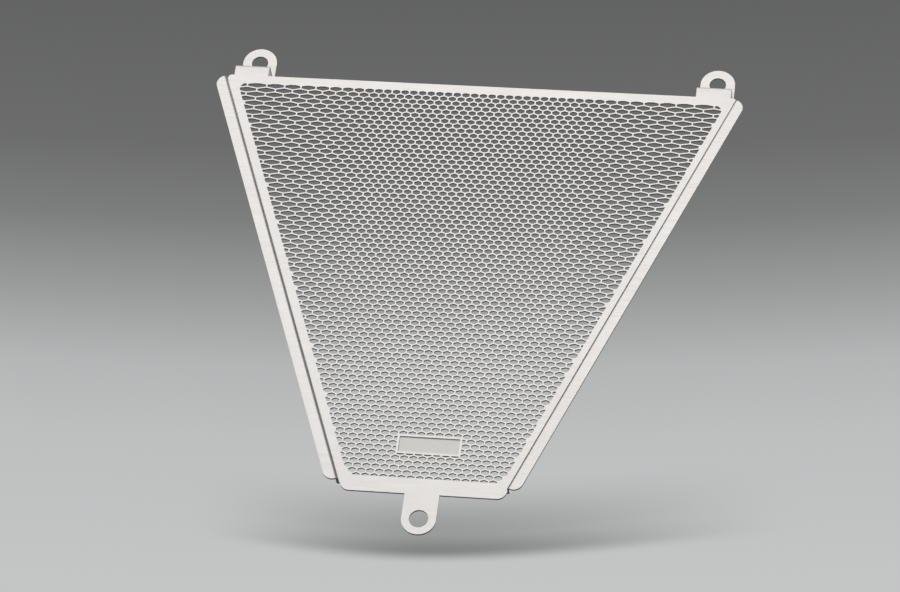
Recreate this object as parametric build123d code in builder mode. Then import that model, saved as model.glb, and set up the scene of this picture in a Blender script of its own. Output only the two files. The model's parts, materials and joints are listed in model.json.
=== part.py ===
from build123d import *
import os
from math import atan, cos, sin, sqrt

# A motorcycle radiator guard, cut and folded from one stainless sheet: a tapered panel with a
# honeycomb grille, a stepped flange along each side, two set-back ears on top and a tab below.
# The origin is the middle of the tab's hole, on the front face. X points right as seen from the
# front, Y points back and Z points up. All lengths are in millimetres.

# Sheet
sheet = 1.0  # thickness
bend = 0.35  # inside radius of every fold

# Tapered panel, its widths taken between the two side folds
panel_height = 201.1
panel_top_width = 223.4
panel_bottom_width = 66.8
panel_top_radius = 1.7
panel_bottom_radius = 4.0

# Side flanges, stepped forward of the panel
flange_step = 4.4  # panel front to flange front
flange_width = 5.6  # side fold to outer edge
flange_radius = 4.1  # at both ends of the outer edge
top_relief = 1.0  # from the panel's upper corner to the end of the fold
bottom_relief = 0.7  # from the panel's lower corner to the end of the fold

# Lower tab, level with the panel
tab_width = 14.5
tab_hole = 8.0
tab_drop = 11.35  # panel's bottom edge to the hole

# Upper ears, set back behind the panel on a shelf
ear_spacing = 201.8  # hole to hole
ear_width = 15.0
ear_hole = 7.2
ear_neck = 5.5  # panel's top edge to the top of the shelf
ear_setback = 12.6  # panel front to ear front
ear_rise = 9.4  # top of the shelf to the hole

# Window that the grille fills
border_top = 3.95
border_bottom = 7.15
border_side = 3.6
window_top_radius = 3.0
window_bottom_radius = 5.0

# Honeycomb cells: even in the middle, wider and wider towards the sides
cell_pitch = 10.8
cell_flatness = 0.7  # height against that of a regular hexagon
strand = 1.6  # metal left between cells
even_width = 84.0  # middle stretch where all cells are alike
widening = 0.0227  # gain in pitch for each millimetre beyond that stretch
first_row = 0.38  # middle of the top row below the window's edge, in rows
smallest_share = 0.12  # a cell that the window cuts to less than this share is left out

# Plain plate in the grille: a rim around a sunk field
plate_width = 27.0
plate_height = 9.0
plate_rim = 0.9
plate_sink = 0.5
plate_rise = 18.55  # panel's bottom edge to the plate's lower edge

# Heights and angles that follow from these
panel_bottom = tab_drop
panel_top = panel_bottom + panel_height
side_run = (panel_top_width - panel_bottom_width) / 2 / panel_height
side_angle = atan(side_run)
window_top = panel_top - border_top
window_bottom = panel_bottom + border_bottom
plate_middle = panel_bottom + plate_rise + plate_height / 2
ear_hole_height = panel_top + ear_neck + ear_rise
bend_middle = bend + sheet / 2
row_pitch = cell_pitch * sqrt(3) / 2 * cell_flatness
whole_cell = cell_pitch * row_pitch  # area of one cell in the even stretch


def half_width(height, inset=0.0):
    """Distance from the middle to the side fold, less an inset measured square to the fold."""
    return panel_bottom_width / 2 + (height - panel_bottom) * side_run - inset / cos(side_angle)


def side_outline(bottom, top, inset):
    """Four corners of a tapered outline, from the lower left one round to the upper left one."""
    low = half_width(bottom, inset)
    high = half_width(top, inset)
    return [(-low, bottom), (low, bottom), (high, top), (-high, top)]


def cell_columns(reach):
    """Half columns from one side to the other, spaced by half the local pitch, to one past the reach."""
    columns = [0.0, cell_pitch / 2]
    while columns[-2] < reach:
        beyond = max(0.0, columns[-1] - even_width / 2)
        columns.append(columns[-1] + cell_pitch / 2 * (1 + widening * beyond))
    mirrored = [-column for column in columns[:0:-1]]
    return mirrored + columns


def cell_outline(left, middle, right, height):
    """Hexagon through the middles of the strands around one cell."""
    shoulder = row_pitch / 3
    tip = row_pitch * 2 / 3
    return [
        (left, height - shoulder),
        (middle, height - tip),
        (right, height - shoulder),
        (right, height + shoulder),
        (middle, height + tip),
        (left, height + shoulder),
    ]


def honeycomb():
    """All cells that reach into the window, each one shrunk by half a strand."""
    columns = cell_columns(half_width(window_top))
    centre = len(columns) // 2
    cells = []
    row = 0
    height = window_top - first_row * row_pitch
    while height > window_bottom - row_pitch:
        reach = half_width(height + row_pitch, border_side)
        for index in range(1, len(columns) - 1):
            holds_cell = (index - centre + row) % 2 == 1
            if holds_cell and abs(columns[index]) < reach + cell_pitch:
                points = cell_outline(*columns[index - 1 : index + 2], height)
                cell = Polygon(*points, align=None, mode=Mode.PRIVATE)
                hole = offset(cell, amount=-strand / 2, kind=Kind.INTERSECTION, mode=Mode.PRIVATE)
                cells.extend(hole.faces())
        row += 1
        height -= row_pitch
    return cells


# Grille: the honeycomb, cut off by the window and by the plate
with BuildSketch(Plane.XZ) as grille:
    add(honeycomb())
    with BuildSketch(mode=Mode.INTERSECT) as window:
        Polygon(*side_outline(window_bottom, window_top, border_side), align=None)
        fillet(window.vertices().group_by(Axis.Y)[-1], window_top_radius)
        fillet(window.vertices().group_by(Axis.Y)[0], window_bottom_radius)
    with Locations((0, plate_middle)):
        Rectangle(plate_width, plate_height, mode=Mode.SUBTRACT)
open_cells = [cell for cell in grille.sketch.faces() if cell.area > smallest_share * whole_cell]

# Right flange: a Z-shaped section along the fold, its ends square to the fold, its outer corners round
flange_bottom = panel_bottom + panel_bottom_radius * (1 - sin(side_angle)) + bottom_relief
flange_top = panel_top - panel_top_radius * (1 + sin(side_angle)) - top_relief
flange_length = (flange_top - flange_bottom) / cos(side_angle)
fold_start = (half_width(flange_bottom), 0, flange_bottom)
fold_direction = (sin(side_angle), 0, cos(side_angle))
outwards = (cos(side_angle), 0, -sin(side_angle))
with BuildPart() as flange:
    with BuildSketch(Plane(fold_start, x_dir=outwards, z_dir=fold_direction)):
        with BuildLine():
            rise = JernArc((0, sheet / 2), (1, 0), bend_middle, -90)
            wall = Line(rise @ 1, (bend_middle, bend_middle + sheet / 2 - flange_step))
            turn = JernArc(wall @ 1, wall % 1, bend_middle, 90)
            Line(turn @ 1, (flange_width, sheet / 2 - flange_step))
        trace(line_width=sheet)
    extrude(amount=flange_length)
    with BuildSketch(Plane(fold_start, x_dir=outwards, z_dir=(0, -1, 0))) as flange_front:
        Rectangle(flange_width, flange_length, align=Align.MIN)
        fillet(flange_front.vertices().group_by(Axis.X)[-1], flange_radius)
    extrude(amount=flange_step + sheet, both=True, mode=Mode.INTERSECT)

# Right ear: neck, shelf and ear in one bent strip with a round end
with BuildPart() as ear:
    shelf_middle = panel_top + ear_neck - sheet / 2
    ear_middle = ear_setback + sheet / 2
    ear_top = ear_hole_height + ear_width / 2
    with BuildSketch(Plane.YZ.offset(ear_spacing / 2)):
        with BuildLine():
            FilletPolyline(
                (sheet / 2, panel_top),
                (sheet / 2, shelf_middle),
                (ear_middle, shelf_middle),
                (ear_middle, ear_top),
                radius=bend_middle,
            )
        trace(line_width=sheet)
    extrude(amount=ear_width / 2, both=True)
    with BuildSketch(Plane.XZ):
        with Locations((ear_spacing / 2, ear_hole_height)):
            Circle(ear_width / 2)
        with Locations((ear_spacing / 2, (panel_top + ear_hole_height) / 2)):
            Rectangle(ear_width, ear_hole_height - panel_top)
        with Locations((ear_spacing / 2, ear_hole_height)):
            Circle(ear_hole / 2, mode=Mode.SUBTRACT)
    extrude(amount=-(ear_setback + sheet), mode=Mode.INTERSECT)

# The whole sheet
with BuildPart() as guard_sheet:
    with BuildSketch(Plane.XZ) as blank:
        Polygon(*side_outline(panel_bottom, panel_top, 0), align=None)
        fillet(blank.vertices().group_by(Axis.Y)[-1], panel_top_radius)
        fillet(blank.vertices().group_by(Axis.Y)[0], panel_bottom_radius)
        with Locations((0, tab_drop / 2)):
            Rectangle(tab_width, tab_drop)
        Circle(tab_width / 2)
        Circle(tab_hole / 2, mode=Mode.SUBTRACT)
    extrude(amount=-sheet)
    with BuildSketch(Plane.XZ):
        with Locations((0, plate_middle)):
            Rectangle(plate_width - 2 * plate_rim, plate_height - 2 * plate_rim)
    extrude(amount=-plate_sink, mode=Mode.SUBTRACT)
    for folded in (flange.part, ear.part):
        add(folded)
        mirror(folded, about=Plane.YZ)
    extrude(open_cells, amount=-sheet, mode=Mode.SUBTRACT)

guard_sheet.part.label = "guard_sheet"
os.makedirs("parts", exist_ok=True)
export_step(guard_sheet.part, "parts/guard_sheet.step")
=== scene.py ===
import json
from math import atan, cos, pi, radians, sin, sqrt, tan

import bmesh
import bpy
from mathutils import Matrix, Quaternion, Vector
from mathutils.geometry import area_tri, delaunay_2d_cdt


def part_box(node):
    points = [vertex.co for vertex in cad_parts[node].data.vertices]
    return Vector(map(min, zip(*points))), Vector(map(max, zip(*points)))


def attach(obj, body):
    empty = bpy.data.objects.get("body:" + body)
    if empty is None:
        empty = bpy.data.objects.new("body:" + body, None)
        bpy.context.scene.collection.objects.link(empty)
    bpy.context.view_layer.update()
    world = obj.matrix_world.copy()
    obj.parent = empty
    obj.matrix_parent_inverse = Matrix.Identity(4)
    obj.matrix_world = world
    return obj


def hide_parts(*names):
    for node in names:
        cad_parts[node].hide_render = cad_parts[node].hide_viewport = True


# A motorcycle radiator guard: one folded stainless sheet with a graded honeycomb grille.
# Lengths are in millimetres until the mesh is made, in the CAD model's frame.

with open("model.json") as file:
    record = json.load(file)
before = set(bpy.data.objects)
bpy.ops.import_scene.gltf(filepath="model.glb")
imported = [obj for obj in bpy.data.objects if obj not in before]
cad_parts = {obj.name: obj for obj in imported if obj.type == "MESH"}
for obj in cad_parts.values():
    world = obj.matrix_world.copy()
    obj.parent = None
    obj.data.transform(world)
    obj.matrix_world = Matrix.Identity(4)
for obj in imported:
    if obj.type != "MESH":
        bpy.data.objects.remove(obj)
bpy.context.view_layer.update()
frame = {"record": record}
mm = 0.001

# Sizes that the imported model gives
low, high = (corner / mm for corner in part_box("guard_sheet"))
mounts = {mount["name"]: mount for mount in frame["record"]["mounts"]}
tab_hole_radius = mounts["lower_tab_hole"]["dims"]["r_mm"]
tab_radius = -low.z
ear_hole_radius = mounts["ear_holes"]["dims"]["hole_r_mm"]
ear_x = mounts["ear_holes"]["dims"]["spacing_x_mm"] / 2
ear_z = mounts["ear_holes"]["pos_m"][2] / mm
ear_radius = high.z - ear_z
flange_front = low.y
ear_back = high.y

# Sheet and folds
sheet = 1.0
bend_middle = 0.85  # radius of a fold at the middle of the sheet
panel_depth = sheet / 2  # middle of the panel's thickness
bend_steps = 8
quarter_turn = [pi / 2 * step / bend_steps for step in range(bend_steps + 1)]
round_steps = 12
blunt_half_angle = radians(65)  # two points are enough for corners blunter than this
smallest_setback = 0.01  # a corner with less room than this stays sharp
weld_distance = 0.002  # points nearer than this become one
sharp_angle = radians(30)  # faces that meet at more than this show an edge

# Panel and its flanges
panel_bottom = 11.35
panel_top = 212.45
panel_top_width = 223.4
panel_bottom_width = 66.8
panel_top_radius = 1.7
panel_bottom_radius = 4.0
flange_width = 5.6
flange_bottom = 14.6
flange_top = 209.13
flange_radius = 4.1
shelf_top = 217.95

# Window that the grille fills
window_top = 208.5
window_bottom = 18.5
border_side = 3.6
window_top_radius = 3.0
window_bottom_radius = 5.0

# Honeycomb at its true size: even in the middle, each next pair of half columns wider
cell_pitch = 3.8
cell_flatness = 0.7
strand = 0.56
cell_radius = 0.35
cell_steps = 3
even_half_columns = 23
pair_growth = 1.089
first_row = 0.437
smallest_share = 0.12

# Plate: a rim around a sunk field
plate_width = 27.0
plate_bottom = 29.9
plate_top = 38.9
plate_rim = 0.9
plate_sink = 0.5

# Camera, at the photo's viewing angle
camera_azimuth = radians(9.796)
camera_elevation = radians(-30.426)
camera_roll = radians(8.154)
camera_distance = 1866.3
camera_aim = Vector((-0.18, 0, 106.37))
camera_lens = 177.8

# Finishes, by their places in the mesh's list, and the range that holds most of a noise's values
# The edge finish is dark partly from the cut steel's own tone and partly from painted shade
edge_and_shade_finish = 1
field_finish = 2
noise_low = 0.3
noise_high = 0.7
grain_strength = 0.35

# Stage
lamp_colour = (1.0, 0.982, 0.965)
room_grey = (0.3, 0.302, 0.304, 1.0)
ambient_grey = (0.54, 0.54, 0.54, 1.0)
floor_grey = (0.62, 0.625, 0.63, 1.0)
floor_reach = 3000.0
floor_gap = 0.5  # below the tab

row_pitch = cell_pitch * sqrt(3) / 2 * cell_flatness
side_run = (panel_top_width - panel_bottom_width) / 2 / (panel_top - panel_bottom)
side_angle = atan(side_run)


def half_width(height, inset=0.0):
    """Distance from the middle to the side fold, less an inset square to the fold."""
    return panel_bottom_width / 2 + (height - panel_bottom) * side_run - inset / cos(side_angle)


def rounded(corners, radii, steps, share=0.48):
    """Outline with each corner turned into an arc that takes at most a share of its edges."""
    points = []
    for index, radius in enumerate(radii):
        corner = corners[index]
        before = corners[index - 1] - corner
        after = corners[(index + 1) % len(corners)] - corner
        half_angle = before.angle(after) / 2
        setback = min(radius / tan(half_angle), share * before.length, share * after.length)
        if setback < smallest_setback:
            points.append(corner)
            continue
        before.normalize()
        after.normalize()
        arc_radius = setback * tan(half_angle)
        centre = corner + (before + after).normalized() * arc_radius / sin(half_angle)
        start = corner + before * setback - centre
        end = corner + after * setback - centre
        count = 2 if half_angle > blunt_half_angle else steps
        for step in range(count):
            points.append(centre + start.slerp(end, step / (count - 1)).normalized() * arc_radius)
    return points


def arc(centre, radius, start, end, steps):
    """Points on an arc from one angle to another, ends included."""
    angles = [start + (end - start) * step / steps for step in range(steps + 1)]
    return [centre + Vector((cos(angle), sin(angle))) * radius for angle in angles]


def clipped(outline, origin, inwards):
    """Part of an outline that lies on the inner side of a line."""
    kept = []
    for index, point in enumerate(outline):
        before = outline[index - 1]
        here = (point - origin).dot(inwards)
        there = (before - origin).dot(inwards)
        if here * there < 0:
            kept.append(before + (point - before) * there / (there - here))
        if here >= 0:
            kept.append(point)
    return kept


def area(outline):
    """Area of a convex outline."""
    pairs = zip(outline[1:], outline[2:])
    return sum(area_tri(outline[0], second, third) for second, third in pairs)


def shrunk(outline, inset):
    """Convex outline with all edges moved in, for corners in anticlockwise order."""
    result = outline
    for index, point in enumerate(outline):
        along = (outline[(index + 1) % len(outline)] - point).normalized()
        inwards = Vector((-along.y, along.x))
        result = clipped(result, point + inwards * inset, inwards)
    return result


def window_outline():
    """Tapered opening with round corners, anticlockwise from its lower left corner."""
    bottom = half_width(window_bottom, border_side)
    top = half_width(window_top, border_side)
    ends = [(-bottom, window_bottom), (bottom, window_bottom), (top, window_top), (-top, window_top)]
    radii = [window_bottom_radius] * 2 + [window_top_radius] * 2
    return rounded([Vector(end) for end in ends], radii, round_steps)


def outside_plate(outline, middle):
    """Part of a cell that the plate leaves open, cut along the plate's nearest edge."""
    plate_middle = Vector((0, (plate_bottom + plate_top) / 2))
    reach = Vector((plate_width / 2, (plate_top - plate_bottom) / 2))
    away = middle - plate_middle
    beyond = Vector((abs(away.x) - reach.x, abs(away.y) - reach.y))
    if beyond.x > beyond.y:
        outwards = Vector((1 if away.x > 0 else -1, 0))
    else:
        outwards = Vector((0, 1 if away.y > 0 else -1))
    edge = plate_middle + Vector((outwards.x * reach.x, outwards.y * reach.y))
    return clipped(outline, edge, outwards)


def cell_columns():
    """Half columns from the middle to past the window's corner, with their mirrored ones."""
    columns = [0.0]
    while columns[-1] < half_width(panel_top):
        pair = max(0, (len(columns) - even_half_columns + 1) // 2)
        columns.append(columns[-1] + cell_pitch / 2 * pair_growth**pair)
    return [-column for column in columns[:0:-1]] + columns


def cell_hexagon(left, middle, right, height):
    """Anticlockwise hexagon through the middles of the strands around one cell."""
    shoulder = row_pitch / 3
    tip = row_pitch * 2 / 3
    corners = [
        (middle, height - tip),
        (right, height - shoulder),
        (right, height + shoulder),
        (middle, height + tip),
        (left, height + shoulder),
        (left, height - shoulder),
    ]
    return [Vector(corner) for corner in corners]


def cell_holes():
    """Outlines of all cells, cut off by the window and by the plate."""
    columns = cell_columns()
    centre = len(columns) // 2
    window = window_outline()
    holes = []
    row = 0
    height = window_top - first_row * row_pitch
    while height > window_bottom - row_pitch:
        for index in range(1, len(columns) - 1):
            middle = Vector((columns[index], height))
            near = abs(middle.x) < half_width(height + row_pitch) + cell_pitch
            if not near or (index - centre + row) % 2 == 0:
                continue
            hole = shrunk(cell_hexagon(*columns[index - 1 : index + 2], height), strand / 2)
            for start, end in zip(window, window[1:] + window[:1]):
                along = end - start
                hole = clipped(hole, start, Vector((-along.y, along.x)))
            if hole and plate_bottom - row_pitch < height < plate_top + row_pitch:
                hole = outside_plate(hole, middle)
            if len(hole) > 2 and area(hole) > smallest_share * cell_pitch * row_pitch:
                holes.append(rounded(hole, [cell_radius] * len(hole), cell_steps))
        row += 1
        height -= row_pitch
    return holes


def panel_outline():
    """Flat part between the folds, with the tab, anticlockwise from the tab's left side."""
    bottom = half_width(panel_bottom)
    top = half_width(panel_top)
    corners = [Vector((bottom, panel_bottom)), Vector((top, panel_top)), Vector((0, panel_top))]
    sides = [Vector((0, panel_bottom)), *corners]
    radii = [0, panel_bottom_radius, panel_top_radius, 0]
    right = rounded(sides, radii, round_steps)[1:-1]
    low_corner = right[:round_steps]
    high_corner = [point for point in right[round_steps:] if point.x > ear_x + ear_radius]
    fold = [Vector((half_width(height), height)) for height in (flange_bottom, flange_top)]
    neck = [Vector((ear_x + ear_radius, panel_top)), Vector((ear_x - ear_radius, panel_top))]
    right = [Vector((tab_radius, panel_bottom)), *low_corner, *fold, *high_corner, *neck]
    left = [Vector((-point.x, point.y)) for point in reversed(right)]
    tab = arc(Vector((0, 0)), tab_radius, -pi, 0, 2 * round_steps)
    return tab + right + left


def plate_field():
    """Sunk part of the plate, inside its rim."""
    reach = plate_width / 2 - plate_rim
    bottom = plate_bottom + plate_rim
    top = plate_top - plate_rim
    return [Vector(end) for end in [(-reach, bottom), (reach, bottom), (reach, top), (-reach, top)]]


def hole_outline(centre, radius):
    """Full circle, without its first point again at the end."""
    return arc(centre, radius, 0, 2 * pi, 4 * round_steps)[:-1]


def add_flat(mesh, outline, holes, depth):
    """Fills an upright outline around its holes with triangles, at one depth."""
    points = []
    loops = []
    for loop in [outline, *holes]:
        loops.append(range(len(points), len(points) + len(loop)))
        points += loop
    inside_with_holes = 2
    tolerance = 1e-5
    made = delaunay_2d_cdt(points, [], loops, inside_with_holes, tolerance)
    corners = [mesh.verts.new(Vector((point.x, depth, point.y)) * mm) for point in made[0]]
    for triangle in made[2]:
        mesh.faces.new([corners[index] for index in triangle])


def add_strip(mesh, rows, round_rows):
    """Joins rows of two points with four-sided faces, shaded round where both rows are on a fold."""
    made = [[mesh.verts.new(Vector(point) * mm) for point in row] for row in rows]
    for index, (row, after) in enumerate(zip(made, made[1:])):
        face = mesh.faces.new([row[0], row[1], after[1], after[0]])
        face.smooth = round_rows[index] and round_rows[index + 1]


def flange_outline():
    """Right flange seen from the front, from its fold to its outer edge."""
    bottom = Vector((half_width(flange_bottom), flange_bottom))
    top = Vector((half_width(flange_top), flange_top))
    outwards = Vector((cos(side_angle), -sin(side_angle))) * flange_width
    ends = [bottom, bottom + outwards, top + outwards, top]
    return rounded(ends, [0, flange_radius, flange_radius, 0], round_steps, share=0.9)


def beyond_fold(outline, out):
    """Part of an outline that lies further out than a line along the right fold, and that line's ends."""
    line = Vector((half_width(panel_bottom) + out / cos(side_angle), panel_bottom))
    outwards = Vector((cos(side_angle), -sin(side_angle)))
    part = clipped(outline, line, outwards)
    nearest = sorted(part, key=lambda point: abs((point - line).dot(outwards)))
    return part, sorted(nearest[:2], key=lambda point: point.y)


def add_flange(mesh, side):
    """Fold, wall, fold and flat flange along one side of the panel."""
    front_depth = flange_front + sheet / 2
    profile = []
    for turn in quarter_turn:
        profile.append((sin(turn), panel_depth - bend_middle + cos(turn) * bend_middle))
    for turn in quarter_turn:
        profile.append((2 - cos(turn), front_depth + bend_middle - sin(turn) * bend_middle))
    outline = flange_outline()
    rows = []
    for out, depth in profile:
        ends = beyond_fold(outline, out * bend_middle)[1]
        rows.append([(side * end.x, depth, end.y) for end in ends])
    add_strip(mesh, rows, [True] * len(rows))
    flat = beyond_fold(outline, 2 * bend_middle)[0]
    add_flat(mesh, [Vector((side * point.x, point.y)) for point in flat], [], front_depth)


def add_ear(mesh, side):
    """Neck, shelf and round-ended ear above the panel."""
    shelf = shelf_top - sheet / 2
    ear_depth = ear_back - sheet / 2
    profile = [(panel_depth, panel_top)]
    for turn in quarter_turn:
        depth = panel_depth + bend_middle - cos(turn) * bend_middle
        profile.append((depth, shelf - bend_middle + sin(turn) * bend_middle))
    for turn in quarter_turn:
        depth = ear_depth - bend_middle + sin(turn) * bend_middle
        profile.append((depth, shelf + bend_middle - cos(turn) * bend_middle))
    ends = (side * (ear_x - ear_radius), side * (ear_x + ear_radius))
    rows = [[(end, depth, height) for end in ends] for depth, height in profile]
    round_rows = [False] + [True] * (len(rows) - 1)
    add_strip(mesh, rows, round_rows)
    centre = Vector((side * ear_x, ear_z))
    foot = shelf + bend_middle
    outline = [Vector((ends[0], foot)), Vector((ends[1], foot))]
    if side < 0:
        outline.reverse()
    outline += arc(centre, ear_radius, 0, pi, 2 * round_steps)
    add_flat(mesh, outline, [hole_outline(centre, ear_hole_radius)], ear_depth)


def middle_surface():
    """The folded sheet without its thickness."""
    mesh = bmesh.new()
    field = plate_field()
    holes = [hole_outline(Vector((0, 0)), tab_hole_radius), field, *cell_holes()]
    add_flat(mesh, panel_outline(), holes, panel_depth)
    mesh.faces.new([mesh.verts.new(Vector((point.x, panel_depth, point.y)) * mm) for point in field])
    for side in (1, -1):
        add_flange(mesh, side)
        add_ear(mesh, side)
    bmesh.ops.remove_doubles(mesh, verts=mesh.verts, dist=weld_distance * mm)
    bmesh.ops.recalc_face_normals(mesh, faces=mesh.faces)
    made = bpy.data.meshes.new("middle_surface")
    mesh.to_mesh(made)
    mesh.free()
    return made


def thickened(surface):
    """The sheet with its full thickness and its cut edges in their own darker finish, which is partly
    painted shade.
    """
    flat = bpy.data.objects.new("flat", surface)
    bpy.context.scene.collection.objects.link(flat)
    solid = flat.modifiers.new("thickness", "SOLIDIFY")
    solid.thickness = sheet * mm
    solid.offset = 0
    solid.use_even_offset = True
    solid.material_offset_rim = edge_and_shade_finish
    graph = bpy.context.evaluated_depsgraph_get()
    made = bpy.data.meshes.new_from_object(flat.evaluated_get(graph))
    bpy.data.objects.remove(flat)
    return made


def press_plate(made):
    """Sinks the plate's field into the front of the sheet, its walls given the dark edge finish as painted
    shade in the narrow groove.
    """
    mesh = bmesh.new()
    mesh.from_mesh(made)
    bmesh.ops.recalc_face_normals(mesh, faces=mesh.faces)
    target = Vector((0, 0, (plate_bottom + plate_top) / 2)) * mm
    field = min(mesh.faces, key=lambda face: (face.calc_center_median() - target).length)
    sunk = bmesh.ops.extrude_discrete_faces(mesh, faces=[field])["faces"][0]
    bmesh.ops.translate(mesh, verts=sunk.verts, vec=Vector((0, plate_sink, 0)) * mm)
    # Painted shade: the groove's walls take the dark edge finish to stand for the shade between rim and
    # field
    for edge in sunk.edges:
        for face in edge.link_faces:
            face.material_index = edge_and_shade_finish
    sunk.material_index = field_finish
    mesh.to_mesh(made)
    mesh.free()


def new_material(name):
    """Material with nodes, and what is needed to work on them."""
    material = bpy.data.materials.new(name)
    material.use_nodes = True
    nodes = material.node_tree.nodes
    return material, nodes, material.node_tree.links, nodes["Principled BSDF"]


def noise(nodes, links, scale, detail):
    """Noise over the object's own coordinates, stretched by a scale per axis."""
    place = nodes.new("ShaderNodeTexCoord")
    stretch = nodes.new("ShaderNodeMapping")
    stretch.inputs["Scale"].default_value = scale
    texture = nodes.new("ShaderNodeTexNoise")
    texture.inputs["Scale"].default_value = 1.0
    texture.inputs["Detail"].default_value = detail
    links.new(place.outputs["Object"], stretch.inputs["Vector"])
    links.new(stretch.outputs["Vector"], texture.inputs["Vector"])
    return texture.outputs["Fac"]


def ramp(nodes, links, factor, stops, blend="LINEAR"):
    """Colour ramp with stops given as pairs of a place and a colour."""
    made = nodes.new("ShaderNodeValToRGB")
    made.color_ramp.interpolation = blend
    elements = made.color_ramp.elements
    while len(elements) < len(stops):
        elements.new(0.5)
    for element, (place, colour) in zip(elements, stops):
        element.position = place
        element.color = (*colour, 1.0)
    links.new(factor, made.inputs["Fac"])
    return made.outputs["Color"]


def spread(nodes, links, factor, lowest, highest):
    """Maps the middle range of a noise onto a range of values."""
    made = nodes.new("ShaderNodeMapRange")
    made.inputs["From Min"].default_value = noise_low
    made.inputs["From Max"].default_value = noise_high
    made.inputs["To Min"].default_value = lowest
    made.inputs["To Max"].default_value = highest
    links.new(factor, made.inputs["Value"])
    return made.outputs["Result"]


def tinted(nodes, links, factor, dark, light):
    """Colour that follows a noise from dark to light."""
    return ramp(nodes, links, factor, [(noise_low, dark), (noise_high, light)])


def add_grain(nodes, links, shader, grain, depth):
    """Raises the surface by a noise, up to a depth in millimetres."""
    bump = nodes.new("ShaderNodeBump")
    bump.inputs["Strength"].default_value = grain_strength
    bump.inputs["Distance"].default_value = depth * mm
    links.new(grain, bump.inputs["Height"])
    links.new(bump.outputs["Normal"], shader.inputs["Normal"])


def stainless():
    """Satin sheet: fine grain along X in height and gloss, soft clouding in colour."""
    material, nodes, links, shader = new_material("stainless")
    shader.inputs["Metallic"].default_value = 1.0
    grain = noise(nodes, links, (60, 2200, 2200), 3.0)
    cloud = noise(nodes, links, (28, 28, 28), 3.0)
    colour = tinted(nodes, links, cloud, (0.79, 0.775, 0.765), (0.82, 0.808, 0.8))
    links.new(colour, shader.inputs["Base Color"])
    links.new(spread(nodes, links, grain, 0.34, 0.42), shader.inputs["Roughness"])
    add_grain(nodes, links, shader, grain, 0.01)
    return material


def cut_edge_and_painted_shade():
    """Edges left by the cutter: duller, with fine lines across the sheet, and darker partly as cut steel
    and partly as painted shade for the shadowed surroundings they reflect.
    """
    material, nodes, links, shader = new_material("cut_edge_and_painted_shade")
    shader.inputs["Metallic"].default_value = 1.0
    lines = noise(nodes, links, (3000, 300, 3000), 2.0)
    # Dark base colour: partly the cut steel's own duller tone, partly painted shade for the shadow under
    # and behind the guard that the walls reflect
    colour = tinted(nodes, links, lines, (0.15, 0.149, 0.146), (0.23, 0.228, 0.224))
    links.new(colour, shader.inputs["Base Color"])
    links.new(spread(nodes, links, lines, 0.45, 0.6), shader.inputs["Roughness"])
    add_grain(nodes, links, shader, lines, 0.02)
    return material


def etched():
    """Field of the plate: matt and a little darker, with a fine even tooth."""
    material, nodes, links, shader = new_material("etched")
    shader.inputs["Metallic"].default_value = 1.0
    tooth = noise(nodes, links, (1500, 1500, 1500), 2.0)
    colour = tinted(nodes, links, tooth, (0.71, 0.7, 0.685), (0.77, 0.76, 0.745))
    links.new(colour, shader.inputs["Base Color"])
    links.new(spread(nodes, links, tooth, 0.42, 0.5), shader.inputs["Roughness"])
    add_grain(nodes, links, shader, tooth, 0.01)
    return material


def make_guard():
    """The whole guard, in place of the solid."""
    surface = middle_surface()
    for material in (stainless(), cut_edge_and_painted_shade(), etched()):
        surface.materials.append(material)
    made = thickened(surface)
    press_plate(made)
    made.set_sharp_from_angle(angle=sharp_angle)
    guard = bpy.data.objects.new("guard", made)
    bpy.context.scene.collection.objects.link(guard)
    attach(guard, "root")
    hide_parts("guard_sheet")


def make_floor():
    """Pale floor under the tab, see-through from below."""
    mesh = bpy.data.meshes.new("floor")
    signs = [(-1, -1), (1, -1), (1, 1), (-1, 1)]
    corners = [Vector((x * floor_reach, y * floor_reach, low.z - floor_gap)) * mm for x, y in signs]
    mesh.from_pydata(corners, [], [(0, 1, 2, 3)])
    floor = bpy.data.objects.new("floor", mesh)
    bpy.context.scene.collection.objects.link(floor)
    material, nodes, links, shader = new_material("floor")
    shader.inputs["Base Color"].default_value = floor_grey
    shader.inputs["Roughness"].default_value = 0.9
    shader.inputs["Specular IOR Level"].default_value = 0.2
    clear = nodes.new("ShaderNodeBsdfTransparent")
    side = nodes.new("ShaderNodeNewGeometry")
    mix = nodes.new("ShaderNodeMixShader")
    links.new(side.outputs["Backfacing"], mix.inputs["Fac"])
    links.new(shader.outputs["BSDF"], mix.inputs[1])
    links.new(clear.outputs["BSDF"], mix.inputs[2])
    links.new(mix.outputs["Shader"], nodes["Material Output"].inputs["Surface"])
    mesh.materials.append(material)


def share_along(nodes, links, axis, lowest, highest):
    """How far a direction reaches along an axis, as a share from lowest to highest."""
    direction = nodes.new("ShaderNodeTexCoord")
    reach = nodes.new("ShaderNodeVectorMath")
    reach.operation = "DOT_PRODUCT"
    reach.inputs[1].default_value = axis
    links.new(direction.outputs["Generated"], reach.inputs[0])
    share = nodes.new("ShaderNodeMapRange")
    share.inputs["From Min"].default_value = lowest
    share.inputs["From Max"].default_value = highest
    links.new(reach.outputs["Value"], share.inputs["Value"])
    return share.outputs["Result"]


def eased(nodes, links, share, stops):
    """Value that passes smoothly from stop to stop."""
    return ramp(nodes, links, share, [(place, (value,) * 3) for place, value in stops], "EASE")


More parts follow.
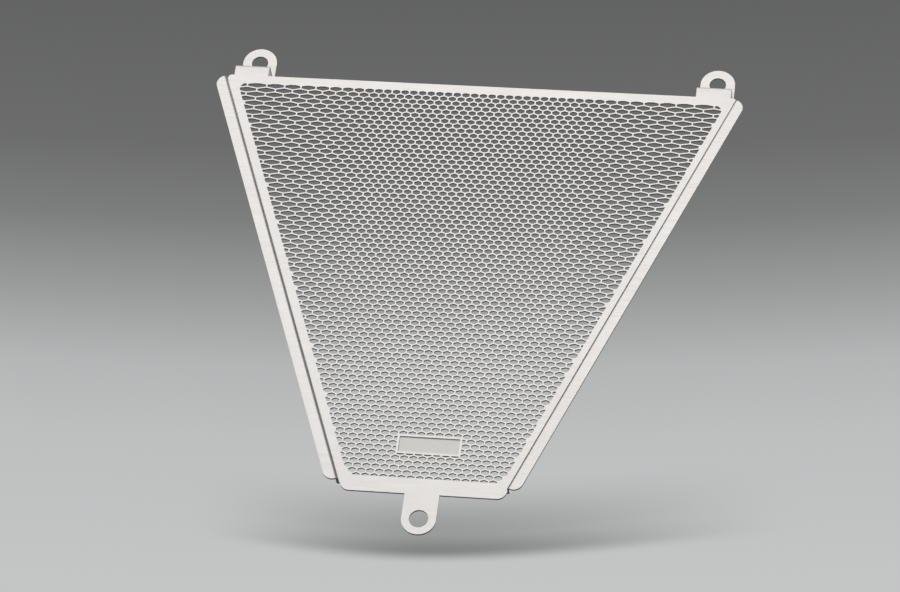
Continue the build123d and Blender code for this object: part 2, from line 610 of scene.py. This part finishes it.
def backdrop_colour(nodes, links):
    """Grey, painted paler below and darker above as light falling off, with a painted soft bowed shadow
    low behind the guard.
    """
    upright = (-0.123, 0.0, 0.992)
    sideward = (0.988, 0.098, 0.122)
    height = share_along(nodes, links, upright, lowest=0.464, highest=0.577)
    across = share_along(nodes, links, sideward, lowest=-0.101, highest=0.101)
    # Painted falloff of light: the backdrop's grey darkens towards the top
    greys = [
        (0.0, (0.552, 0.556, 0.56)),
        (0.25, (0.515, 0.519, 0.523)),
        (0.375, (0.46, 0.464, 0.468)),
        (0.5, (0.323, 0.326, 0.328)),
        (0.625, (0.205, 0.207, 0.208)),
        (0.75, (0.15, 0.151, 0.152)),
        (1.0, (0.122, 0.123, 0.124)),
    ]
    # Painted shadow of the guard, strongest just above its lower edge and bowed up at both ends
    shade_upwards = [(0.036, 0.0), (0.06, 0.58), (0.09, 0.4), (0.19, 0.0)]
    shade_sideways = [(0.2, 0.0), (0.48, 1.0), (0.9, 0.0)]
    upturn = [(0.08, 0.045), (0.48, 0.0), (0.88, 0.03)]
    bowed = nodes.new("ShaderNodeMath")
    bowed.operation = "SUBTRACT"
    links.new(height, bowed.inputs[0])
    links.new(eased(nodes, links, across, upturn), bowed.inputs[1])
    shadow = nodes.new("ShaderNodeMath")
    shadow.operation = "MULTIPLY"
    links.new(eased(nodes, links, bowed.outputs["Value"], shade_upwards), shadow.inputs[0])
    links.new(eased(nodes, links, across, shade_sideways), shadow.inputs[1])
    shaded = nodes.new("ShaderNodeMixRGB")
    shaded.inputs["Color2"].default_value = (0.0, 0.0, 0.0, 1.0)
    links.new(shadow.outputs["Value"], shaded.inputs["Fac"])
    links.new(ramp(nodes, links, height, greys), shaded.inputs["Color1"])
    room = nodes.new("ShaderNodeMixRGB")
    room.inputs["Color1"].default_value = room_grey
    links.new(share_along(nodes, links, upright, lowest=0.2, highest=0.45), room.inputs["Fac"])
    links.new(shaded.outputs["Color"], room.inputs["Color2"])
    return room.outputs["Color"]


def make_world():
    """Backdrop for what is seen and reflected, even grey light for what is matt."""
    world = bpy.data.worlds.new("studio")
    bpy.context.scene.world = world
    world.use_nodes = True
    nodes = world.node_tree.nodes
    links = world.node_tree.links
    backdrop = nodes["Background"]
    links.new(backdrop_colour(nodes, links), backdrop.inputs["Color"])
    ambient = nodes.new("ShaderNodeBackground")
    ambient.inputs["Color"].default_value = ambient_grey
    path = nodes.new("ShaderNodeLightPath")
    mix = nodes.new("ShaderNodeMixShader")
    links.new(path.outputs["Is Diffuse Ray"], mix.inputs["Fac"])
    links.new(backdrop.outputs["Background"], mix.inputs[1])
    links.new(ambient.outputs["Background"], mix.inputs[2])
    links.new(mix.outputs["Shader"], nodes["World Output"].inputs["Surface"])


def make_softbox(name, azimuth, elevation, distance, size, radiance):
    """Square lamp that faces the guard, in metres, its power worked out from how bright it looks."""
    lamp = bpy.data.lights.new(name, "AREA")
    lamp.size = size
    lamp.color = lamp_colour
    lamp.energy = radiance * pi * size * size
    softbox = bpy.data.objects.new(name, lamp)
    bpy.context.scene.collection.objects.link(softbox)
    towards = Vector((sin(azimuth) * cos(elevation), -cos(azimuth) * cos(elevation), sin(elevation)))
    softbox.location = camera_aim * mm + towards * distance
    softbox.rotation_mode = "QUATERNION"
    softbox.rotation_quaternion = (-towards).to_track_quat("-Z", "Y")
    softbox.visible_camera = False


def make_camera():
    """Camera that sees the guard as the photo shows it."""
    camera = bpy.data.objects.new("camera", bpy.data.cameras.new("camera"))
    bpy.context.scene.collection.objects.link(camera)
    level = cos(camera_elevation)
    back = Vector((sin(camera_azimuth) * level, -cos(camera_azimuth) * level, sin(camera_elevation)))
    camera.location = (camera_aim + back * camera_distance) * mm
    camera.rotation_mode = "QUATERNION"
    upright = (-back).to_track_quat("-Z", "Y")
    camera.rotation_quaternion = upright @ Quaternion((0, 0, 1), camera_roll)
    camera.data.lens = camera_lens
    bpy.context.scene.camera = camera


bpy.context.scene.view_settings.view_transform = "Standard"
make_guard()
make_floor()
make_world()
make_softbox("key", -camera_azimuth, radians(10) - camera_elevation, distance=1.2, size=0.9, radiance=0.94)
make_softbox("top", 0.0, radians(85), distance=1.2, size=0.9, radiance=0.6)
make_softbox("front", radians(-5), radians(6), distance=3.2, size=1.6, radiance=0.85)
make_softbox("back", radians(165), radians(20), distance=3.2, size=2.2, radiance=0.75)
make_camera()
